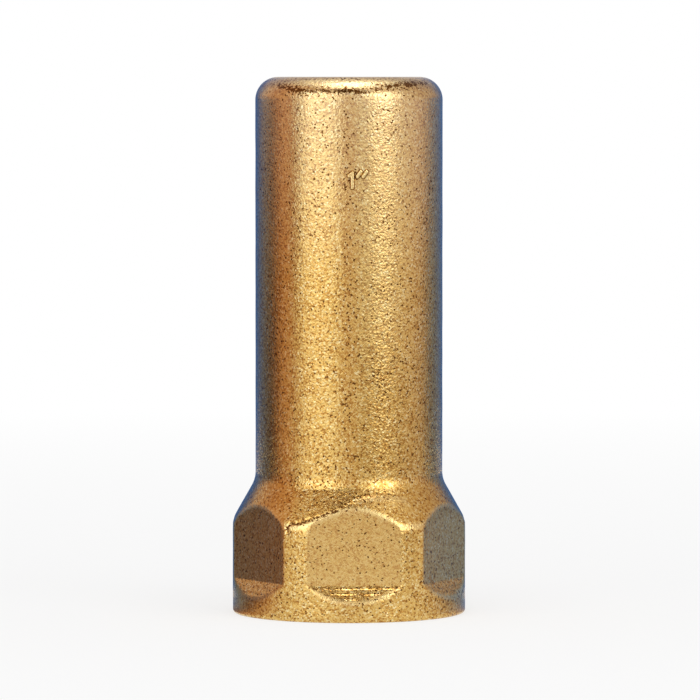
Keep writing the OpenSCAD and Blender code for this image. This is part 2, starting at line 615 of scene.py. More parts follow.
@dataclass(frozen=True)
class Fold:
    """A line that the forging die left across the shoulder: a groove, and a raised lip just under it.

    The points are degrees round the axis and heights. The lip follows all of them but the first two.
    """

    points: tuple[tuple[float, float], ...]
    depth: float
    width: float
    lip_drop: float
    lip_width: float
    # Painted shade in the groove and a painted highlight on the lip.
    painted_shade: float
    painted_highlight: float
    lip_share: float = 0.6
    ragged: Waves | None = None

    def shares(self, theta: Array, z: Array, r: float) -> tuple[Array, Array]:
        """How far into the groove and onto the lip each point is, from 0 to 1.

        Both are bells of the distance to the strokes between the points, on the skin unrolled at radius r.
        Where the fold has seeded waves, they make the groove's edge ragged.

        Args:
            theta: Angles round the axis.
            z: Heights.
            r: Radius at which the skin is unrolled.

        Returns:
            The groove's share and the lip's.
        """
        points = np.array(self.points) * (np.radians(1) * r, 1)
        lip_points = points[2:] - (0, self.lip_drop)
        away = stroke_distance(theta * r, z, chain(points))
        if self.ragged:
            away = away * self.ragged.at(theta, z)
        lip = bell(stroke_distance(theta * r, z, chain(lip_points)), self.lip_width)
        return bell(away, self.width), lip


# A lap of metal that the die folded over the top of one land.
LAP = Fold(
    points=(
        (-123.4, 16.9), (-124.8, 17.8), (-123.2, 18.5), (-119.0, 18.7),
        (-113.0, 19.4), (-106.5, 20.3), (-99.0, 21.3),
    ),
    depth=0.14,
    width=0.26,
    ragged=Waves(mean=1.0, swing=0.2, most=2.0, seed=31, count=10, length=1.2, turns=60),
    lip_drop=0.6,
    lip_width=0.42,
    painted_shade=0.85,
    painted_highlight=1.0,
)
# A fainter crease across the shoulder.
CREASE = Fold(
    points=((-97.0, 21.8), (-91.0, 23.2), (-85.0, 23.9), (-77.0, 24.2), (-68.0, 24.1), (-60.0, 23.6)),
    depth=0.06,
    width=0.30,
    lip_drop=0.9,
    lip_width=0.6,
    painted_shade=0.22,
    painted_highlight=0.5,
)


@dataclass(frozen=True)
class CrownShadeLine:
    """Painted dark reflection across the front of the crown: a broken line, wide in places, and a thin one at
    the rim.

    The line's points are degrees from the photograph's middle and heights below the crown's top. The blobs
    are the middles and half widths, in degrees, of the places where the line is wide.
    """

    points: tuple[tuple[float, float], ...] = (
        (-62, 1.3), (-45, 1.9), (-31, 2.7), (-15, 2.7), (0, 2.7),
        (5, 2.9), (14, 2.6), (26, 1.8), (40, 1.45), (64, 1.0),
    )
    blobs: tuple[tuple[float, float], ...] = ((-38, 16), (0, 7), (41, 17))
    line_shade: float = 0.62
    blob_shade: float = 0.5
    line_width: float = 0.28
    blob_width: float = 0.3
    rim_drop: float = 0.42
    rim_width: float = 0.16
    rim_half_deg: float = 48.0
    rim_shade: float = 0.45
    ragged: Waves = Waves(mean=0.9, swing=0.9, most=1.6, seed=23, count=12, length=0.9, turns=60)

    def share(self, theta: Array, z: Array, middle_deg: float, r: float, height: float) -> Array:
        """Share of painted dark reflection at each point.

        The line is a bell of the distance to the strokes between its points, on the skin unrolled at
        radius r. The rim's line is a bell of the height from it. Seeded waves make both ragged.

        Args:
            theta: Angles round the axis.
            z: Heights.
            middle_deg: The photograph's middle, in degrees round the axis.
            r: Radius at which the skin is unrolled.
            height: Height of the crown's top.

        Returns:
            The shares, over the broadcast shape of theta and z.
        """
        aside = np.degrees(theta) - middle_deg
        strokes = chain(np.array(self.points) * (np.radians(1) * r, -1) + (0, height))
        away = stroke_distance(np.radians(aside) * r, z, strokes)
        blobs = sum(bell(aside - middle, half) for middle, half in self.blobs)
        ragged = self.ragged.at(theta, z)
        broken = np.clip((self.line_shade + self.blob_shade * blobs) * ragged, 0, 1)
        broken = broken * bell(away / (self.line_width + self.blob_width * blobs), 1)
        rim = bell(height - self.rim_drop - z, self.rim_width) * bell(aside, self.rim_half_deg)
        return np.maximum(broken, self.rim_shade * rim * ragged)


@dataclass(frozen=True)
class MiddleStripe:
    """Patchy painted dark reflection in a faint stripe down the front of the barrel, in line with the camera.
    """

    middle_deg: float = -93.9
    half_deg: float = 2.2
    painted_shade: float = 0.13
    low_z: float = 30.0
    low_fade: float = 6.0
    high_drop: float = 6.0
    high_fade: float = 4.0
    patchy: Waves = Waves(mean=0.6, swing=0.7, most=1.4, seed=41, count=9, length=5.0, turns=3)

    def share(self, theta: Array, z: Array, height: float) -> Array:
        """Share of painted dark reflection: a bell of the angle from the line, times seeded waves, faded out
        at both ends.

        Args:
            theta: Angles round the axis.
            z: Heights.
            height: Height of the crown's top.

        Returns:
            The shares, over the broadcast shape of theta and z.
        """
        low = np.clip((z - self.low_z) / self.low_fade, 0, 1)
        high = np.clip((height - self.high_drop - z) / self.high_fade, 0, 1)
        stripe = bell(np.degrees(theta) - self.middle_deg, self.half_deg)
        return self.painted_shade * stripe * self.patchy.at(theta, z) * (low * high)


@dataclass(frozen=True)
class HighlightPatch:
    """A painted highlight on a patch of the barrel, right of the middle of the camera's view."""

    aside_deg: float = 20.0
    half_deg: float = 16.0
    middle_z: float = 66.0
    half_h: float = 17.0
    painted_highlight: float = 0.35

    def share(self, aside: Array, z: Array) -> Array:
        """Share of painted highlight: a bell of the degrees from the patch's middle times a bell of the
        height from it.
        """
        return self.painted_highlight * bell(aside - self.aside_deg, self.half_deg) * bell(z - self.middle_z, self.half_h)


@dataclass(frozen=True)
class ForgedSkin:
    """The forged outside at a grid of points: its radius, its painted highlight, its painted shade and how
    calm it is.
    """

    radius: Array
    painted_highlight: Array
    painted_shade: Array
    calm: Array


@dataclass
class Shell:
    """The one-piece brass body: forged outside, turned inside, with six spanner flats and a pipe thread.

    shown_deg is the angle round the axis of the side that the photograph's camera faces.
    """

    height: float
    foot_r: float
    barrel_r: float = 18.0
    bore_r: float = 14.5
    crown_r: float = 4.4
    crown_wall: float = 4.0
    bore_end_r: float = 2.5
    flat_r: float = 20.5
    flat_count: int = 6
    flat_start_h: float = 7.0
    foot_h: float = 18.0
    foot_edge_r: float = 0.6
    slope: float = 29.5
    shoulder_root_r: float = 5.5
    shoulder_edge_r: float = 2.7
    thread_major_r: float = 16.625
    thread_pitch: float = 2.309
    thread_depth_share: float = 0.6403
    thread_depth: float = 17.0
    mouth_relief: float = 0.35
    runout_w: float = 2.4
    lead_in: float = 0.8
    ring_land: float = 1.6
    ring_groove_w: float = 1.3
    ring_groove_depth: float = 0.7
    around: int = 384
    held: float = 0.08
    crowd_below: float = 0.5
    crowd_above: float = 1.3
    flat_edge_width: float = 0.16
    arch_edge_width: float = 0.45
    arch_rise: float = 2.4
    arch_reach: float = 2.5
    lens_rise: float = 1.0
    lens_reach: float = 1.6
    flat_highlight: float = 0.2
    front_calm: float = 0.3
    side_calm: float = 0.05
    shelf_start_h: float = 17.3
    shelf_slope: float = 16.0
    shelf_edge_width: float = 0.1
    shelf_margin: float = 0.3
    shelf_highlight: float = 0.8
    unevenness: float = 0.035
    dents: Waves = Waves(mean=0.5, swing=0.5, most=1.5, seed=11, count=14, length=5.0, turns=9)
    drag_pitch: float = 0.95
    drag_depth: float = 0.075
    drag_start: float = 0.5
    drag_shade: float = 0.5
    faint_drag: float = 0.25
    drag_strength: Waves = Waves(mean=0.55, swing=0.6, most=1.0, seed=7, count=8, length=3.0, turns=36)
    crown_shade: float = 0.9
    highlight_share: float = 0.7
    shown_deg: float = -92.7
    lap_deg: float = -113.0
    folds: tuple[Fold, ...] = (LAP, CREASE)
    crown: CrownShadeLine = CrownShadeLine()
    middle_stripe: MiddleStripe = MiddleStripe()
    highlight_patch: HighlightPatch = HighlightPatch()

    def tangent(self, r: float) -> float:
        """Length from a corner to where a rounding of radius r leaves the wall, at the shoulder's slope."""
        return r * np.tan(np.radians(self.slope) / 2)

    @property
    def shoulder_top(self) -> float:
        """Height at which the shoulder's cone would meet the barrel."""
        return self.foot_h + (self.foot_r - self.barrel_r) / np.tan(np.radians(self.slope))

    @property
    def lens_h(self) -> float:
        """Height of the lowest point of a flat's run-out."""
        return self.flat_start_h - (self.foot_r - self.flat_r) / np.tan(np.radians(self.slope))

    @property
    def mouth_r(self) -> float:
        """Radius of the mouth's chamfer at the foot's face, and of the groove above the thread."""
        return self.thread_major_r + self.mouth_relief

    def angles(self) -> Array:
        """Angles round the axis, crowded at the flats' edges, at the lap and at the dark stripe down the
        front.

        The density is 1 plus a bell at each of those places, and the angles are where its running sum
        passes even steps.

        Returns:
            The angles in radians, from -pi on.
        """
        fine = np.linspace(-np.pi, np.pi, 20001)
        _, aside = self.nearest_flat(fine)
        edge = np.arccos(self.flat_r / self.foot_r)
        density = 1 + 2 * bell(np.abs(aside) - edge, 0.05)
        density += 2 * bell(fine - np.radians(self.lap_deg), 0.2)
        density += bell(fine - np.radians(self.middle_stripe.middle_deg), 0.06)
        total = np.concatenate([[0], np.cumsum((density[1:] + density[:-1]) / 2)])
        return np.interp(np.arange(self.around) / self.around, total / total[-1], fine)

    def nearest_flat(self, theta: Array) -> tuple[Array, Array]:
        """Find the flat that is nearest to each angle.

        Args:
            theta: Angles round the axis.

        Returns:
            The flat's number, counted from the one on -Y, and the angle from its middle.
        """
        pitch = 2 * np.pi / self.flat_count
        number = np.round((theta + np.pi / 2) / pitch)
        return number, theta + np.pi / 2 - number * pitch

    def outside(self) -> Array:
        """Half section of the forged outside.

        Returns:
            Radius and height of each point, from the crown's middle down to the foot's face.
        """
        edge_z = self.foot_h - self.tangent(self.shoulder_edge_r)
        root_z = self.shoulder_top + self.tangent(self.shoulder_root_r)
        root_in, edge_in = self.barrel_r + self.shoulder_root_r, self.foot_r - self.shoulder_edge_r
        crown_in, crown_z = self.barrel_r - self.crown_r, self.height - self.crown_r
        crown = arc((crown_in, crown_z), self.crown_r, 90, 0, 20)
        root = arc((root_in, root_z), self.shoulder_root_r, 180, 180 + self.slope, 11)
        edge = arc((edge_in, edge_z), self.shoulder_edge_r, self.slope, 0, 9)
        toe = arc((self.foot_r - self.foot_edge_r, self.foot_edge_r), self.foot_edge_r, 0, -90, 6)
        # Rings crowd round the lower edges of the flats and down their run-outs.
        flat_low, lens_low = self.flat_start_h - self.crowd_below, self.lens_h - self.crowd_below
        flat_high = flat_low + self.crowd_above
        heights = np.concatenate(
            [
                np.linspace(edge_z, flat_high, 11)[1:],
                np.linspace(flat_high, flat_low, 8)[1:],
                np.linspace(flat_low, lens_low, 18)[1:],
                np.linspace(lens_low, self.foot_edge_r, 6)[1:-1],
            ]
        )
        return np.vstack(
            [
                line((0, self.height), (crown_in, self.height), 7),
                crown,
                line(tuple(crown[-1]), tuple(root[0]), 28),
                root,
                line(tuple(root[-1]), tuple(edge[0]), 28),
                edge,
                np.column_stack([np.full_like(heights, self.foot_r), heights]),
                toe,
            ]
        )

    def mouth(self) -> Array:
        """Half section of the turned mouth.

        Returns:
            Radius and height of each point: the foot's face, and heights up the threaded wall.
        """
        corners = np.array([(self.foot_r - self.foot_edge_r, 0), (self.mouth_r, 0)])
        heights = np.concatenate([[0, self.held], np.linspace(0, self.thread_depth, 62)[1:]])
        wall = np.column_stack([np.full_like(heights, self.mouth_r), heights])
        return np.vstack([hold_corners(corners, self.held)[1:-1], wall])

    def inside(self) -> Array:
        """Half section of the turned bore above the thread.

        Returns:
            Radius and height of each point, up to the blind end's middle.
        """
        top = self.thread_depth + self.runout_w
        ring_z = top + self.lead_in + self.ring_land
        ring_r = self.bore_r + self.ring_groove_depth
        ring_top = ring_z + self.ring_groove_w
        end_z = self.height - self.crown_wall
        end = arc((self.bore_r - self.bore_end_r, end_z - self.bore_end_r), self.bore_end_r, 0, 90, 8)
        corners = np.array(
            [
                (self.mouth_r, self.thread_depth),
                (self.mouth_r, top),
                (self.bore_r + self.lead_in, top),
                (self.bore_r, top + self.lead_in),
                (self.bore_r, ring_z),
                (ring_r, ring_z),
                (ring_r, ring_top),
                (self.bore_r, ring_top),
            ]
        )
        return np.vstack(
            [
                hold_corners(corners, self.held),
                line(tuple(corners[-1]), tuple(end[0]), 6),
                end,
                line(tuple(end[-1]), (0, end_z), 3),
            ]
        )

    def thread(self, theta: Array, z: Array) -> Array:
        """Wall of the right-hand pipe thread.

        A 55-degree pipe thread with rounded crests and roots is close to a sine wave: the middle radius plus
        half the depth times the sine of the turns that z is ahead of theta.

        Args:
            theta: Angles round the axis.
            z: Heights.

        Returns:
            The wall's radius.
        """
        depth = self.thread_depth_share * self.thread_pitch
        turns = z / self.thread_pitch - theta / (2 * np.pi)
        return self.thread_major_r - depth / 2 + depth / 2 * np.sin(2 * np.pi * turns)

    def drag_marks(self, theta: Array, z: Array) -> Array:
        """Level marks that the trimming tool dragged across the flats' run-outs.

        A cosine of the depth below the flat, strengthened and weakened by seeded waves along it. The flat
        that faces -Y has them strong, and the others faint.

        Args:
            theta: Angles round the axis.
            z: Heights.

        Returns:
            The marks' relief, from -1 to 1.
        """
        below = self.flat_start_h - z
        number, _ = self.nearest_flat(theta)
        strength = self.drag_strength.at(theta, z) * np.where(number == 0, 1, self.faint_drag)
        ripple = np.cos(2 * np.pi * below / self.drag_pitch)
        return strength * ripple * np.clip(below / self.drag_start, 0, 1)

    def flats(self, theta: Array, z: Array) -> Array:
        """Faces of the spanner flats and their run-outs.

        A plane at distance n from the axis lies at n over the cosine of the angle from the flat's middle.
        Below the flat, n grows with the run-out's slope and ripples with the drag marks.

        Args:
            theta: Angles round the axis.
            z: Heights.

        Returns:
            The faces' radius.
        """
        _, aside = self.nearest_flat(theta)
        rise = np.maximum(self.flat_start_h - z, 0) * np.tan(np.radians(self.slope))
        return (self.flat_r + rise + self.drag_depth * self.drag_marks(theta, z)) / np.cos(aside)

    def forged_skin(self, theta: Array, r: Array, z: Array) -> ForgedSkin:
        """Shape the forged outside, and find each point's painted highlight, its painted shade and how calm
        it is.

        The turned profile, the shelf on top of the lands and the flats meet by smooth minimums, which round
        the edges, most of all the arches and the lenses. Slow waves push the skin in a little, never out.
        The folds cut into it, and their lips stand out by a part of their depth.

        Args:
            theta: Angles round the axis.
            r: Profile radii.
            z: Profile heights.

        Returns:
            The skin, over the broadcast shape of the three.
        """
        face = self.flats(theta, z)
        arches = bell(z - self.foot_h - self.arch_rise, self.arch_reach)
        sloping = np.maximum(arches, bell(z - self.lens_h - self.lens_rise, self.lens_reach))
        width = self.flat_edge_width + (self.arch_edge_width - self.flat_edge_width) * sloping
        above = np.minimum(z, self.shoulder_top) - self.shelf_start_h
        shelf = self.foot_r - above * np.tan(np.radians(self.shelf_slope))
        shaped = smooth_min(smooth_min(r + 0 * theta, shelf, self.shelf_edge_width), face, width)
        shaped = shaped - self.unevenness * self.dents.at(theta, z) * np.clip(r / self.barrel_r, 0, 1)

        # Painted highlights on the flats' edges, most on the arches and lenses, on the lands' shelf and on a
        # patch of the barrel.
        edge = np.clip(1 - np.abs(r - face) / width, 0, 1)
        land = np.clip((face - r) / self.shelf_margin, 0, 1)
        shelved = np.clip((r - shelf) / self.shelf_edge_width, 0, 1) * land
        painted_highlight = edge * (self.flat_highlight + (1 - self.flat_highlight) * sloping) + self.shelf_highlight * shelved
        painted_highlight = painted_highlight + self.highlight_patch.share(np.degrees(theta) - self.shown_deg, z)

        # Painted shade in the troughs of the drag marks on the run-outs.
        trough = np.clip(-self.drag_marks(theta, z), 0, 1) * (face < r) * (z < self.flat_start_h)
        # The crown's painted dark reflection stays off its flat top.
        rounding = np.clip(r - self.barrel_r + self.crown_r, 0, 1)
        crown = self.crown.share(theta, z, self.shown_deg, self.barrel_r, self.height) * rounding
        painted_shade = np.maximum(self.drag_shade * trough, self.crown_shade * crown)
        # Each fold has painted shade in its groove and a painted highlight on its lip.
        for fold in self.folds:
            groove, lip = fold.shares(theta, z, self.foot_r)
            shaped = shaped - fold.depth * (groove - fold.lip_share * lip)
            painted_highlight = painted_highlight + fold.painted_highlight * lip
            painted_shade = np.maximum(painted_shade, fold.painted_shade * groove)
        # Painted dark reflection in the stripe down the front of the barrel.
        painted_shade = painted_shade + self.middle_stripe.share(theta, z, self.height)

        number, _ = self.nearest_flat(theta)
        pressed = np.where(number == 0, self.front_calm, self.side_calm)
        calm = pressed * np.clip((r - face) / width, 0, 1) * (z > self.flat_start_h)
        return ForgedSkin(shaped, self.highlight_share * np.clip(painted_highlight, 0, 1), painted_shade, calm)

    def build(self, finishes: Mapping[Skin, bpy.types.Material]) -> bpy.types.Object:
        """Make the shell's mesh, dress it and let it stand for the CAD body.

        Args:
            finishes: The material of each kind of skin.

        Returns:
            The finished piece.
        """
        theta = self.angles()[None, :]
        profile, mouth, bore = self.outside(), self.mouth(), self.inside()
        forged = self.forged_skin(theta, profile[:, :1], profile[:, 1:])
        r, z = mouth[:, :1], mouth[:, 1:]
        threaded = np.where(z == 0, r, np.maximum(self.mouth_r - z, self.thread(theta, z)))
        turned = np.vstack([threaded, bore[:, :1] + 0 * theta])
        radius = np.vstack([forged.radius, turned])
        height = np.concatenate([profile[:, 1], mouth[:, 1], bore[:, 1]])[:, None]
        rings = np.stack([radius * np.cos(theta), radius * np.sin(theta), height + 0 * radius], axis=-1)
        piece = skin_rings("forged_body", rings)
        clean = np.zeros(turned.size + 2)
        for name in SKIN_SHARES:
            set_attribute(piece, name, np.concatenate([getattr(forged, name).ravel(), clean]))
        for kind in Skin:
            piece.data.materials.append(finishes[kind])
        around = theta.size
        made = np.full(len(piece.data.polygons), Skin.TURNED.value)
        made[: (len(profile) - 1) * around] = Skin.FORGED.value
        made[-2 * around : -around] = Skin.FORGED.value
        piece.data.polygons.foreach_set("material_index", made.astype(np.int32))
        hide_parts("body")
        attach(piece, "shell")
        return piece


@dataclass
class SizeMark:
    """The plain raised pipe-size mark on the barrel: a figure one and two inch ticks."""

    shell: Shell
    middle_z: float = 83.6
    middle_deg: float = -87.2
    proud: float = 0.42
    sunk: float = 0.06
    stroke: float = 0.16
    soft: float = 0.46
    shade_lift: float = 0.2
    shade_reach: float = 0.3
    half_w: float = 3.0
    half_h: float = 2.5
    step: float = 0.06

    def strokes(self) -> Array:
        """The strokes of the figure and the ticks.

        Returns:
            The two ends of each stroke, in millimetres right of and above the mark's middle.
        """
        stem = chain([(-1.7, 0.75), (-1.1, 1.25), (-1.1, -1.45)])
        ticks = np.array([[(-0.15, 0.6), (0.5, 1.5)], [(0.95, 0.6), (1.6, 1.5)]])
        return np.concatenate([stem, ticks])

    def build(self, finish: bpy.types.Material) -> bpy.types.Object:
        """Make the mark as a thin plate, bent round the barrel and raised along its strokes.

        Its height is a smooth step of the distance to the nearest stroke; where it is low, the plate lies
        just under the barrel's skin. Painted shade darkens the foot of the strokes, and a painted highlight
        brightens their tops.

        Args:
            finish: The forged brass of the shell.

        Returns:
            The finished piece.
        """
        u, v = np.meshgrid(
            np.arange(-self.half_w, self.half_w + self.step, self.step),
            np.arange(-self.half_h, self.half_h + self.step, self.step),
        )
        inward = self.stroke + self.soft - stroke_distance(u, v, self.strokes())
        ramp = np.clip(inward / self.soft, 0, 1)
        lift = ramp * ramp * (3 - 2 * ramp)
        theta = np.radians(self.middle_deg) + u / self.shell.barrel_r
        z = self.middle_z + v
        skin = self.shell.forged_skin(theta, np.full_like(u, self.shell.barrel_r), z)
        face = lift * (self.proud + self.sunk) - self.sunk
        layers = skin.radius + np.stack([face, np.full_like(face, -3 * self.sunk)])
        points = np.stack([layers * np.cos(theta), layers * np.sin(theta), z + 0 * layers], axis=-1)
        upper = np.arange(u.size).reshape(u.shape)
        border = np.concatenate([upper[0, :-1], upper[:-1, -1], upper[-1, :0:-1], upper[:0:-1, 0]])
        beyond = np.roll(border, -1)
        rim = np.column_stack([border, border + u.size, beyond + u.size, beyond])
        quads = np.concatenate([grid_quads(upper), grid_quads(upper + u.size)[:, ::-1], rim])
        piece = make_object("size_mark", points.reshape(-1, 3), quads, np.empty((0, 3), int))
        # Painted highlight on the strokes' tops and painted shade at their foot.
        shares = {
            "painted_highlight": np.clip(2 * lift - 1, 0, 1),
            "painted_shade": bell(lift - self.shade_lift, self.shade_reach),
        }
        for name, share in shares.items():
            set_attribute(piece, name, np.concatenate([share.ravel(), np.zeros(u.size)]))
        piece.data.materials.append(finish)
        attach(piece, "shell")
        return piece


@dataclass
class InnerPieces:
    """The pieces inside the shell, which keep their CAD shapes and get their finishes here."""

    piston: TurnedAcetal = TurnedAcetal()
    seals: GreasedRubber = GreasedRubber()
    washer: TumbledSteel = TumbledSteel("tumbled_stainless_sheet")
    ring: TumbledSteel = TumbledSteel("tumbled_spring_steel", light="#A9A8A4", dark="#6C6B68")

    def build(self) -> list[bpy.types.Object]:
        """Give each CAD node its material.

        Returns:
            The dressed CAD nodes.
        """
        rubber = self.seals.material()
        finishes = {
            "piston": self.piston.material(),
            "lower_o_ring": rubber,
            "upper_o_ring": rubber,
            "stop_washer": self.washer.material(),
            "retaining_ring": self.ring.material(),
        }
        for name, finish in finishes.items():
            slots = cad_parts[name].data.materials
            slots.clear()
            slots.append(finish)
        return [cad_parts[name] for name in finishes]


def background_rays(add: NodeAdder) -> bpy.types.NodeSocket:
    """Tell the rays that show the background: those from the camera, a mirror or a glass.

    Args:
        add: Adds a node to the tree that asks.

    Returns:
        A socket that is 1 for such rays and 0 for others.
    """
    path = add("LightPath").outputs
    seen = path["Is Camera Ray"]
    for name in ("Is Glossy Ray", "Is Transmission Ray"):
        seen = add("Math", links={0: seen, 1: path[name]}, operation="MAXIMUM").outputs[0]
    return seen


@dataclass(frozen=True)
class Card:
    """A studio card that only the metal mirrors: part of a cone round the axis, tinted round the axis.

    The camera doesn't see cards, and they neither light matt faces nor cast shadows.
    """

    name: str
    low_m: tuple[float, float]
    high_m: tuple[float, float]
    tones: tuple[tuple[float, str], ...]

    def surface(self, camera_deg: float, place: Array, rise: Array) -> Array:
        """Points of the card: a straight line of radius and height, swept round the axis.

        Args:
            camera_deg: Angle round the axis at which the camera stands.
            place: Degrees from the camera, with plus to its right.
            rise: 0 at the card's low edge and 1 at its high edge.

        Returns:
            The points in metres, with a last axis of 3.
        """
        turn = np.radians(camera_deg + place)
        r, z = (low + (high - low) * rise for low, high in zip(self.low_m, self.high_m))
        return np.stack([r * np.cos(turn), r * np.sin(turn), z], axis=-1)

    def build(self, camera_deg: float) -> bpy.types.Object:
        """Make the card from its first tone to its last, and hide it from all but mirror rays.

        Args:
            camera_deg: Angle round the axis at which the camera stands.

        Returns:
            The card.
        """
        places = np.array([place for place, _ in self.tones])
        shares = (places - places[0]) / (places[-1] - places[0])
        u, v = np.meshgrid(np.linspace(0, 1, 49), np.linspace(0, 1, 2))
        points = self.surface(camera_deg, places[0] + (places[-1] - places[0]) * u, v)
        quads = grid_quads(np.arange(u.size).reshape(u.shape))
        card = make_object(self.name, points.reshape(-1, 3) / MM, quads, np.empty((0, 3), int))
        uv = np.stack([u, v], axis=-1).reshape(-1, 2)[quads.ravel()]
        card.data.uv_layers.new(name="card").data.foreach_set("uv", uv.astype(np.float32).ravel())
        material, add = new_material(f"{self.name}_paper")
        place = add("UVMap", uv_map="card").outputs["UV"]
        along = add("SeparateXYZ", links={"Vector": place}).outputs["X"]
        stops = [(float(share), code) for share, (_, code) in zip(shares, self.tones)]
        tone = add("ValToRGB", links={"Fac": along}, stops=stops).outputs["Color"]
        glow = add("Emission", links={"Color": tone}).outputs["Emission"]
        add("OutputMaterial", links={"Surface": glow})
        card.data.materials.append(material)
        card.visible_camera = False
        card.visible_diffuse = False
        card.visible_shadow = False
        return card


# What the cards show, as degrees to the camera's right and colours.
LEFT_TONES = (
    (-72, "#CEA694"), (-88, "#CCA28E"), (-97, "#9E7A74"), (-105, "#625262"),
    (-117, "#747890"), (-129, "#6474A4"), (-145, "#5872B0"), (-160, "#4670B4"),
    (-171, "#3A6CB4"), (-176, PLAIN_PAPER),
)
RIGHT_TONES = (
    (52, "#F7F2EF"), (80, "#E9E1E7"), (100, "#CBC1D5"), (109, "#A29BAC"),
    (118, "#8496C4"), (129, "#7C8CB4"), (145, "#667EB4"), (160, "#4E78BA"),
    (171, "#3E74BC"), (176, PLAIN_PAPER),
)
LEFT_HIGH_TONES = (
    (-72, "#D4AE9C"), (-88, "#D4AA96"), (-97, "#B69288"), (-105, "#847278"),
    (-117, "#948C98"), (-129, "#8A8AA4"), (-145, "#5A72AC"), (-160, "#3E68AE"),
    (-171, "#3A6CB4"), (-176, PLAIN_PAPER),
)
RIGHT_HIGH_TONES = (
    (52, "#F7F2EF"), (80, "#F0E6E6"), (100, "#DACAD0"), (109, "#BCAAAE"),
    (118, "#9CA2C0"), (129, "#8690B4"), (145, "#667EB4"), (160, "#4E78BA"),
    (171, "#3E74BC"), (176, PLAIN_PAPER),
)
LEFT_FLOOR_TONES = (
    (-45, "#F8F0E8"), (-72, "#D8BCA4"), (-88, "#BC9480"), (-97, "#644844"),
    (-105, "#3C3038"), (-117, "#4C5062"), (-129, "#566690"), (-142, PLAIN_PAPER),
)
RIGHT_FLOOR_TONES = (
    (50, "#F6F0EA"), (85, "#CCC0B8"), (109, "#7C7684"), (118, "#66769C"),
    (129, "#5C6C98"), (142, PLAIN_PAPER),
)
RIGHT_FRONT_TONES = ((5, "#F4EEE8"), (14, "#B0A08E"), (60, "#B0A08E"), (85, "#C0B2A8"))
LEFT_NEAR_TONES = (
    (-50, "#F4EAE0"), (-66, "#C4A08C"), (-84, "#7C6A6C"), (-104, "#868C9E"),
    (-122, "#6C86B0"), (-140, PLAIN_PAPER),
)
RIGHT_NEAR_TONES = (
    (50, "#F4F0EC"), (68, "#DCD0CC"), (86, "#B2ACBA"), (104, "#8E9EC4"),
    (122, "#7290C0"), (140, PLAIN_PAPER),
)
LEFT_KERB_TONES = (
    (-58, "#F0E4D8"), (-71, "#C49E8C"), (-84, "#82696C"), (-101, "#70687A"),
    (-115, "#788498"), (-134, "#5C78A4"), (-152, "#3A6CB4"), (-160, PLAIN_PAPER),
)
RIGHT_KERB_TONES = (
    (58, "#F4F0EC"), (76, "#DCD2D2"), (92, "#A8A2B2"), (98, "#8EA0CC"),
    (110, "#8EA0CC"), (134, "#6484B4"), (152, "#3E74BC"), (160, PLAIN_PAPER),
)
LEFT_REAR_TONES = ((-136, "#A098A8"), (-150, "#6C80B0"), (-171, "#4E74B4"), (-176, PLAIN_PAPER))
RIGHT_REAR_TONES = ((136, "#A098A8"), (150, "#7488B4"), (171, "#5478B8"), (176, PLAIN_PAPER))
LEFT_UPPER_TONES = (
    (-72, "#E0BDA7"), (-95, "#CFA384"), (-117, "#C2A09A"), (-128, "#DCCAC4"),
    (-147, "#A89CAC"), (-180, "#D8D4D8"),
)
RIGHT_UPPER_TONES = ((60, "#F0E8E0"), (110, "#CCB8AA"), (147, "#A8A2AE"), (180, "#D8D4D8"))
STRIPE_TONES = ((-6, "#D2B094"), (-3, "#C09068"), (0, "#C09068"), (3.5, "#E0C4AA"))
BROW_TONES = ((-100, "#20150C"), (40, "#20150C"), (52, "#8A6E54"), (100, "#8A6E54"))
FRONT_UPPER_TONES = (
    (-100, "#B49A84"), (-70, "#E4CAB0"), (-50, "#D6B898"), (-14, "#866648"),
    (3, "#6E4E32"), (14, "#A88668"), (34, "#FCEEDF"), (70, "#FAEAD8"),
    (100, "#B49A84"),
)
EDGE_TONES = ((-66.5, "#5A3E26"), (-69, "#5A3E26"), (-72, "#CEA694"))
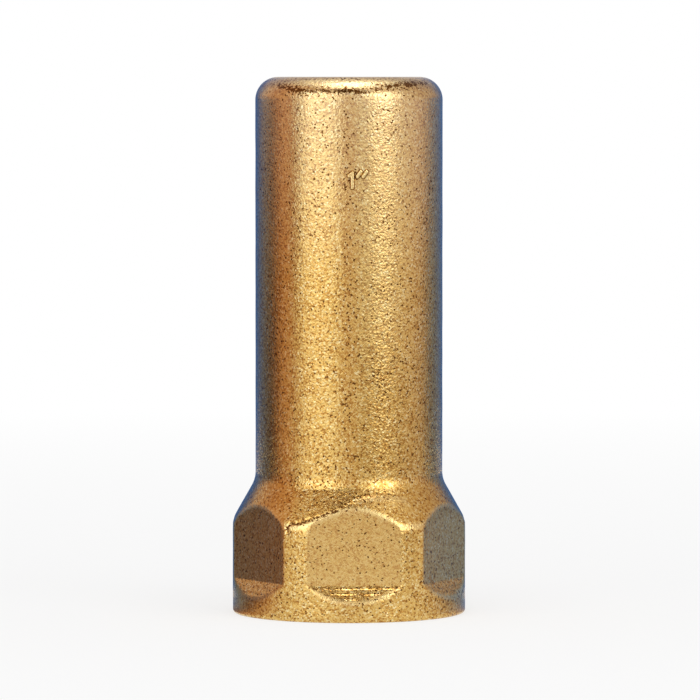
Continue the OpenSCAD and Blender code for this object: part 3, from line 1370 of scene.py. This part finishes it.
# The cards, with radius and height of their low and high edges in metres.
CARDS = (
    Card("left_edge_card", (0.5, 0.0), (0.5, 0.3), EDGE_TONES),
    Card("left_wall_card", (0.5, 0.0), (0.5, 0.07), LEFT_TONES),
    Card("left_high_card", (0.5, 0.07), (0.5, 0.14), LEFT_HIGH_TONES),
    Card("left_floor_card", (0.16, 0.0002), (0.5, 0.0002), LEFT_FLOOR_TONES),
    Card("left_far_card", (0.31, 0.0003), (0.5, 0.0003), LEFT_TONES[5:]),
    Card("left_near_card", (0.0226, 0.0002), (0.05, 0.0002), LEFT_NEAR_TONES),
    Card("left_kerb_card", (0.05, 0.0002), (0.05, 0.0175), LEFT_KERB_TONES),
    Card("left_rear_card", (0.47, 0.13), (0.47, 0.26), LEFT_REAR_TONES),
    Card("left_upper_card", (0.501, 0.14), (0.4, 0.6), LEFT_UPPER_TONES),
    Card("right_wall_card", (0.5, 0.0), (0.5, 0.07), RIGHT_TONES),
    Card("right_high_card", (0.5, 0.07), (0.5, 0.14), RIGHT_HIGH_TONES),
    Card("right_floor_card", (0.2, 0.0002), (0.5, 0.0002), RIGHT_FLOOR_TONES),
    Card("right_far_card", (0.31, 0.0003), (0.5, 0.0003), RIGHT_TONES[5:]),
    Card("right_near_card", (0.0226, 0.0002), (0.05, 0.0002), RIGHT_NEAR_TONES),
    Card("right_kerb_card", (0.05, 0.0002), (0.05, 0.0175), RIGHT_KERB_TONES),
    Card("right_rear_card", (0.47, 0.13), (0.47, 0.26), RIGHT_REAR_TONES),
    Card("right_upper_card", (0.501, 0.14), (0.4, 0.6), RIGHT_UPPER_TONES),
    Card("right_front_card", (0.13, 0.0003), (0.8, 0.0003), RIGHT_FRONT_TONES),
    Card("brow_card", (0.5, 0.49), (0.5, 0.55), BROW_TONES),
    Card("front_upper_card", (0.5, 0.55), (0.5, 0.95), FRONT_UPPER_TONES),
    Card("stripe_card", (0.6, 0.0), (0.6, 0.35), STRIPE_TONES),
    Card("stripe_floor_card", (0.3, 0.0002), (0.6, 0.0002), STRIPE_TONES),
)


@dataclass(frozen=True)
class Lamp:
    """A square soft lamp: degrees to the camera's right, degrees above the horizon, distance, side, power."""

    name: str
    aside: float
    rise: float
    distance_m: float
    size_m: float
    watts: float

    def build(self, camera_deg: float, aim_height_m: float) -> None:
        """Hang the lamp so that it points at the object.

        Args:
            camera_deg: Angle round the axis at which the camera stands.
            aim_height_m: Height of the place that the lamp points at.
        """
        light = bpy.data.lights.new(self.name, "AREA")
        light.size = self.size_m
        light.energy = self.watts
        made = bpy.data.objects.new(self.name, light)
        turn, up = np.radians(camera_deg + self.aside), np.radians(self.rise)
        way = Vector((np.cos(up) * np.cos(turn), np.cos(up) * np.sin(turn), np.sin(up)))
        made.location = Vector((0, 0, aim_height_m)) + way * self.distance_m
        made.rotation_euler = way.to_track_quat("Z", "Y").to_euler()
        made.visible_camera = False
        bpy.context.scene.collection.objects.link(made)


LAMPS = (
    Lamp("left_softbox", -36, 20, 1.1, 0.8, 1.7),
    Lamp("right_softbox", 47, 21, 1.3, 0.8, 3.1),
    Lamp("overhead_softbox", 0, 82, 1.0, 0.6, 2.8),
)


@dataclass
class Studio:
    """The pale floor, the white surroundings, the soft lamps, the mirrored cards and the camera."""

    camera_azimuth: float = -2.7
    camera_distance_m: float = 1.0
    camera_height_m: float = 0.1031
    aim_height_m: float = 0.0505
    aim_aside_m: float = 0.0002
    frame_width_m: float = 0.1347
    floor_r_m: float = 4.0
    shade_from_m: float = 0.05
    shade_to_m: float = 0.6
    near_glow: float = 0.7
    surround: float = 0.55

    @property
    def camera_deg(self) -> float:
        """Angle round the axis at which the camera stands, in degrees from +X."""
        return self.camera_azimuth - 90

    def camera(self) -> None:
        """Place the photograph's camera: far off, level with the crown, looking slightly down."""
        data = bpy.data.cameras.new("photograph")
        turn = np.radians(self.camera_deg)
        back = Vector((np.cos(turn), np.sin(turn), 0))
        right = Vector((-np.sin(turn), np.cos(turn), 0))
        aim = Vector((0, 0, self.aim_height_m)) + right * self.aim_aside_m
        made = bpy.data.objects.new("photograph", data)
        made.location = back * self.camera_distance_m + Vector((0, 0, self.camera_height_m))
        way = aim - made.location
        made.rotation_euler = way.to_track_quat("-Z", "Y").to_euler()
        data.sensor_width = 36.0
        data.lens = data.sensor_width * way.length / self.frame_width_m
        data.clip_start = 0.05
        data.clip_end = 20.0
        bpy.context.scene.collection.objects.link(made)
        bpy.context.scene.camera = made

    def floor(self) -> bpy.types.Object:
        """Lay a round white floor that keeps the object's shadow near it and fades into the surround.

        Returns:
            The floor. It is clear from below, so the underside can be seen.
        """
        turn = np.linspace(0, 2 * np.pi, 97)[:-1]
        rim = np.column_stack([np.cos(turn), np.sin(turn), 0 * turn]) * self.floor_r_m / MM
        number = np.arange(len(rim))
        fan = np.column_stack([np.full(len(rim), len(rim)), number, np.roll(number, -1)])
        floor = make_object("floor", np.vstack([rim, np.zeros(3)]), np.empty((0, 4), int), fan)
        material, add = new_material("matt_white_floor")
        place = add("TexCoord").outputs["Object"]
        far = add("VectorMath", links={0: place}, operation="LENGTH").outputs["Value"]
        glow = add(
            "MapRange",
            {"From Min": self.shade_from_m, "From Max": self.shade_to_m, "To Min": self.near_glow},
            {"Value": far},
        ).outputs["Result"]
        share = add("Math", links={0: background_rays(add), 1: glow}, operation="MULTIPLY").outputs[0]
        paint = add("BsdfDiffuse", {"Color": linear("#F4F4F4")}).outputs["BSDF"]
        white = add("Emission", {"Color": linear("#FFFFFF")}).outputs["Emission"]
        above = add("MixShader", links={0: share, 1: paint, 2: white}).outputs["Shader"]
        below = add("BsdfTransparent").outputs["BSDF"]
        side = add("NewGeometry").outputs["Backfacing"]
        both = add("MixShader", links={0: side, 1: above, 2: below}).outputs["Shader"]
        add("OutputMaterial", links={"Surface": both})
        floor.data.materials.append(material)
        return floor

    def world(self) -> None:
        """Surround the object with white that the camera and the metal see, and that lights matt faces."""
        world = bpy.data.worlds.new("white_surround")
        world.use_nodes = True
        world.node_tree.nodes.clear()
        add = partial(add_node, world.node_tree)
        strength = add(
            "MapRange", {"To Min": self.surround, "To Max": 1.0}, {"Value": background_rays(add)}
        ).outputs["Result"]
        sky = add("Background", {"Color": linear("#FFFFFF")}, {"Strength": strength})
        add("OutputWorld", links={"Surface": sky.outputs["Background"]})
        bpy.context.scene.world = world

    def build(self) -> None:
        """Set up everything round the object."""
        self.camera()
        self.floor()
        self.world()
        for lamp in LAMPS:
            lamp.build(self.camera_deg, self.aim_height_m)
        for card in CARDS:
            card.build(self.camera_deg)
        bpy.context.scene.view_settings.view_transform = "Standard"


def main() -> None:
    """Build the object's pieces in order, then the studio round them."""
    logging.basicConfig(level=logging.INFO, format="%(name)s: %(message)s")
    _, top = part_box("body")
    shell = Shell(height=top.z / MM, foot_r=top.x / MM)
    finishes = {Skin.FORGED: ForgedBrass().material(), Skin.TURNED: TurnedBrass().material()}
    pieces = [shell.build(finishes), SizeMark(shell).build(finishes[Skin.FORGED]), *InnerPieces().build()]
    for piece in pieces:
        log.info("%s: %d faces", piece.name, len(piece.data.polygons))
    Studio().build()


if __name__ == "__main__":
    main()
